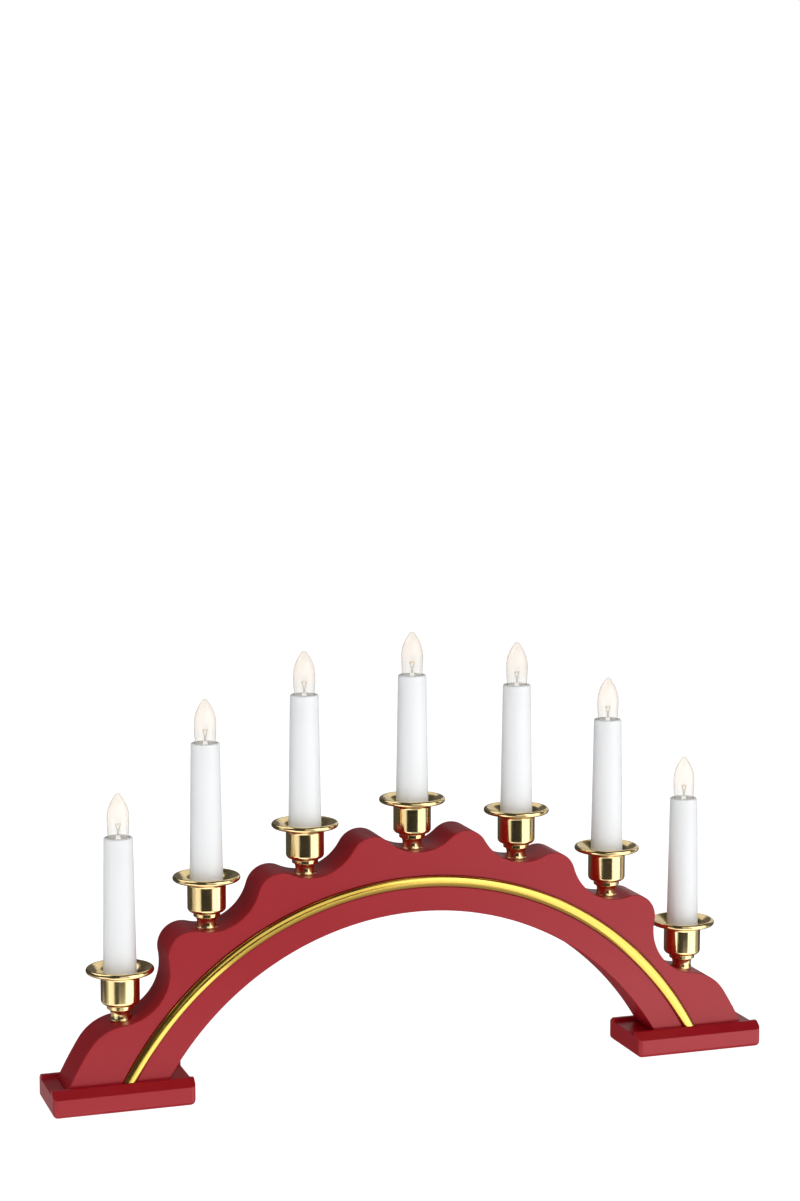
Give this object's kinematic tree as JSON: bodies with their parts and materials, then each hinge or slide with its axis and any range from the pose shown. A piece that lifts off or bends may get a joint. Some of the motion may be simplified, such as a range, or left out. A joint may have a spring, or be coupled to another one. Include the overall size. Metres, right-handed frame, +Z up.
{
  "type": "electric advent candlestick",
  "caption": "Scalloped painted wooden arch on two channelled feet with brass drip cups, white plastic candles and screw-in clear bulbs, a gilt moulding on its front.",
  "frame": {"origin": "on the table, midway between the feet, under the middle of the arch", "axes": "+X along the arch to the right seen from its front, +Y to its back, +Z up"},
  "size_m": [0.45, 0.0472, 0.2702],
  "materials": {
    "red_paint": "satin red paint on wood",
    "gilt": "metallised gold strip",
    "brass": "polished brass",
    "candle_white": "smooth white plastic",
    "holder_white": "moulded plastic",
    "nickel": "nickelled bulb cap",
    "clear_glass": "clear glass",
    "steel": "plain wire and plated screws",
    "wire_jacket": "insulated wire and bush in red plastic"
  },
  "bodies": {
    "stand": {"arch_body": "red_paint", "gold_moulding": "gilt", "rear_cover": "red_paint", "cord_inlet_bush": "wire_jacket", "wiring": "wire_jacket", "foot_left": "red_paint", "foot_right": "red_paint", "foot_screw_left_outer": "steel", "foot_screw_left_inner": "steel", "foot_screw_right_inner": "steel", "foot_screw_right_outer": "steel", "cup_stem_1": "brass", "drip_cup_1": "brass", "candle_sleeve_1": "candle_white", "lampholder_1": "holder_white", "cup_stem_2": "brass", "drip_cup_2": "brass", "candle_sleeve_2": "candle_white", "lampholder_2": "holder_white", "cup_stem_3": "brass", "drip_cup_3": "brass", "candle_sleeve_3": "candle_white", "lampholder_3": "holder_white", "cup_stem_4": "brass", "drip_cup_4": "brass", "candle_sleeve_4": "candle_white", "lampholder_4": "holder_white", "cup_stem_5": "brass", "drip_cup_5": "brass", "candle_sleeve_5": "candle_white", "lampholder_5": "holder_white", "cup_stem_6": "brass", "drip_cup_6": "brass", "candle_sleeve_6": "candle_white", "lampholder_6": "holder_white", "cup_stem_7": "brass", "drip_cup_7": "brass", "candle_sleeve_7": "candle_white", "lampholder_7": "holder_white"},
    "bulb_1_envelope": {"bulb_glass_1": "clear_glass"},
    "bulb_1_screw": {"bulb_cap_1": "nickel", "filament_1": "steel"},
    "bulb_2_envelope": {"bulb_glass_2": "clear_glass"},
    "bulb_2_screw": {"bulb_cap_2": "nickel", "filament_2": "steel"},
    "bulb_3_envelope": {"bulb_glass_3": "clear_glass"},
    "bulb_3_screw": {"bulb_cap_3": "nickel", "filament_3": "steel"},
    "bulb_4_envelope": {"bulb_glass_4": "clear_glass"},
    "bulb_4_screw": {"bulb_cap_4": "nickel", "filament_4": "steel"},
    "bulb_5_envelope": {"bulb_glass_5": "clear_glass"},
    "bulb_5_screw": {"bulb_cap_5": "nickel", "filament_5": "steel"},
    "bulb_6_envelope": {"bulb_glass_6": "clear_glass"},
    "bulb_6_screw": {"bulb_cap_6": "nickel", "filament_6": "steel"},
    "bulb_7_envelope": {"bulb_glass_7": "clear_glass"},
    "bulb_7_screw": {"bulb_cap_7": "nickel", "filament_7": "steel"}
  },
  "joints": [
    {"name": "bulb_1_lift", "type": "slide", "parent": "stand", "child": "bulb_1_envelope", "axis": [0, 0, 1], "range_m": [0, 0.00725]},
    {"name": "bulb_1_turn", "type": "hinge", "parent": "bulb_1_envelope", "child": "bulb_1_screw", "pos_m": [-0.1804, 0, 0], "axis": [0, 0, 1], "range_deg": [0, 1440]},
    {"name": "bulb_2_lift", "type": "slide", "parent": "stand", "child": "bulb_2_envelope", "axis": [0, 0, 1], "range_m": [0, 0.00725]},
    {"name": "bulb_2_turn", "type": "hinge", "parent": "bulb_2_envelope", "child": "bulb_2_screw", "pos_m": [-0.128, 0, 0], "axis": [0, 0, 1], "range_deg": [0, 1440]},
    {"name": "bulb_3_lift", "type": "slide", "parent": "stand", "child": "bulb_3_envelope", "axis": [0, 0, 1], "range_m": [0, 0.00725]},
    {"name": "bulb_3_turn", "type": "hinge", "parent": "bulb_3_envelope", "child": "bulb_3_screw", "pos_m": [-0.0675, 0, 0], "axis": [0, 0, 1], "range_deg": [0, 1440]},
    {"name": "bulb_4_lift", "type": "slide", "parent": "stand", "child": "bulb_4_envelope", "axis": [0, 0, 1], "range_m": [0, 0.00725]},
    {"name": "bulb_4_turn", "type": "hinge", "parent": "bulb_4_envelope", "child": "bulb_4_screw", "pos_m": [0, 0, 0], "axis": [0, 0, 1], "range_deg": [0, 1440]},
    {"name": "bulb_5_lift", "type": "slide", "parent": "stand", "child": "bulb_5_envelope", "axis": [0, 0, 1], "range_m": [0, 0.00725]},
    {"name": "bulb_5_turn", "type": "hinge", "parent": "bulb_5_envelope", "child": "bulb_5_screw", "pos_m": [0.0675, 0, 0], "axis": [0, 0, 1], "range_deg": [0, 1440]},
    {"name": "bulb_6_lift", "type": "slide", "parent": "stand", "child": "bulb_6_envelope", "axis": [0, 0, 1], "range_m": [0, 0.00725]},
    {"name": "bulb_6_turn", "type": "hinge", "parent": "bulb_6_envelope", "child": "bulb_6_screw", "pos_m": [0.128, 0, 0], "axis": [0, 0, 1], "range_deg": [0, 1440]},
    {"name": "bulb_7_lift", "type": "slide", "parent": "stand", "child": "bulb_7_envelope", "axis": [0, 0, 1], "range_m": [0, 0.00725]},
    {"name": "bulb_7_turn", "type": "hinge", "parent": "bulb_7_envelope", "child": "bulb_7_screw", "pos_m": [0.1804, 0, 0], "axis": [0, 0, 1], "range_deg": [0, 1440]}
  ],
  "couplings": [
    {"joint": "bulb_1_turn", "follows": "bulb_1_lift", "rad_per_m": 3463.7},
    {"joint": "bulb_2_turn", "follows": "bulb_2_lift", "rad_per_m": 3463.7},
    {"joint": "bulb_3_turn", "follows": "bulb_3_lift", "rad_per_m": 3463.7},
    {"joint": "bulb_4_turn", "follows": "bulb_4_lift", "rad_per_m": 3463.7},
    {"joint": "bulb_5_turn", "follows": "bulb_5_lift", "rad_per_m": 3463.7},
    {"joint": "bulb_6_turn", "follows": "bulb_6_lift", "rad_per_m": 3463.7},
    {"joint": "bulb_7_turn", "follows": "bulb_7_lift", "rad_per_m": 3463.7}
  ]
}
